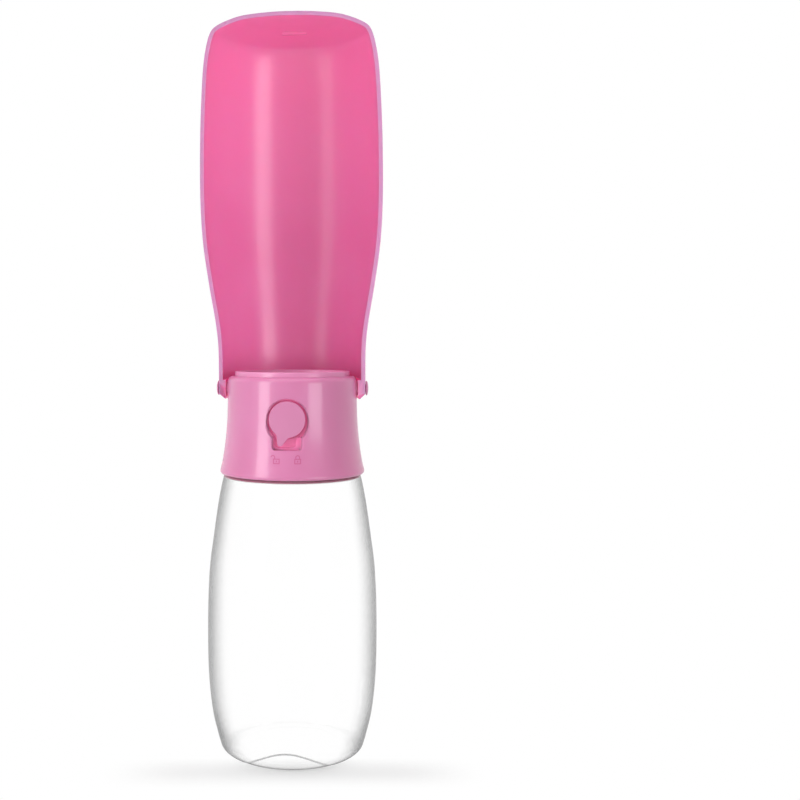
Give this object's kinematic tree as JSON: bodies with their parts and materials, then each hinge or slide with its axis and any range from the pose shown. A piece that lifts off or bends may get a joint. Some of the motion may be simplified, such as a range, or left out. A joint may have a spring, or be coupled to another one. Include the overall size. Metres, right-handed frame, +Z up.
{
  "type": "pet travel water bottle",
  "caption": "Clear bottle with a turn-off valve cap and a drinking trough that hinges on the cap and folds down over the bottle to close.",
  "frame": {"origin": "centre of the standing ring under the bottle, on the surface it stands on", "axes": "+Z up along the bottle, -Y towards the button, +X to the right of someone facing the button; the trough stands open at rest"},
  "size_m": [0.0866, 0.0802, 0.3482],
  "materials": {
    "clear_plastic": "clear gloss",
    "pink_plastic": "satin",
    "pink_trough": "gloss, slightly milky",
    "white_plastic": "matte",
    "seal_rubber": "matte",
    "steel": "brushed"
  },
  "bodies": {
    "bottle": {"bottle": "clear_plastic"},
    "seal": {"neck_seal": "seal_rubber"},
    "cap": {"cap_shell": "pink_plastic", "threaded_liner": "white_plastic", "spout_plate": "pink_plastic", "valve_body": "white_plastic", "end_plug": "white_plastic", "plug_o_ring": "seal_rubber", "gland": "white_plastic", "stem_o_ring": "seal_rubber", "inlet_washer": "seal_rubber", "outlet_washer": "seal_rubber", "valve_screws": "steel", "hinge_pin_left": "pink_plastic", "hinge_pin_right": "pink_plastic"},
    "stem": {"valve_stem": "steel", "poppet_seal": "seal_rubber", "spring_collar": "steel", "valve_spring": "steel"},
    "button": {"button": "pink_plastic"},
    "trough": {"trough": "pink_trough"}
  },
  "joints": [
    {"name": "cap_lift", "type": "slide", "parent": "bottle", "child": "seal", "axis": [0, 0, 1], "range_m": [0, 0.0008]},
    {"name": "cap_turn", "type": "hinge", "parent": "seal", "child": "cap", "pos_m": [0, 0, 0.1708], "axis": [0, 0, 1], "range_deg": [0, 60]},
    {"name": "button_press", "type": "slide", "parent": "cap", "child": "stem", "axis": [0, 1, 0], "range_m": [0, 0.0025], "stiffness_N_per_m": 900, "springref_m": -0.003, "deforming": ["valve_spring"]},
    {"name": "button_lock", "type": "hinge", "parent": "stem", "child": "button", "pos_m": [0, 0, 0.1578], "axis": [0, -1, 0], "range_deg": [0, 32]},
    {"name": "trough_fold", "type": "hinge", "parent": "cap", "child": "trough", "pos_m": [0, 0, 0.1708], "axis": [1, 0, 0], "range_deg": [0, 177]}
  ],
  "couplings": [
    {"joint": "cap_turn", "follows": "cap_lift", "rad_per_m": 1309}
  ]
}
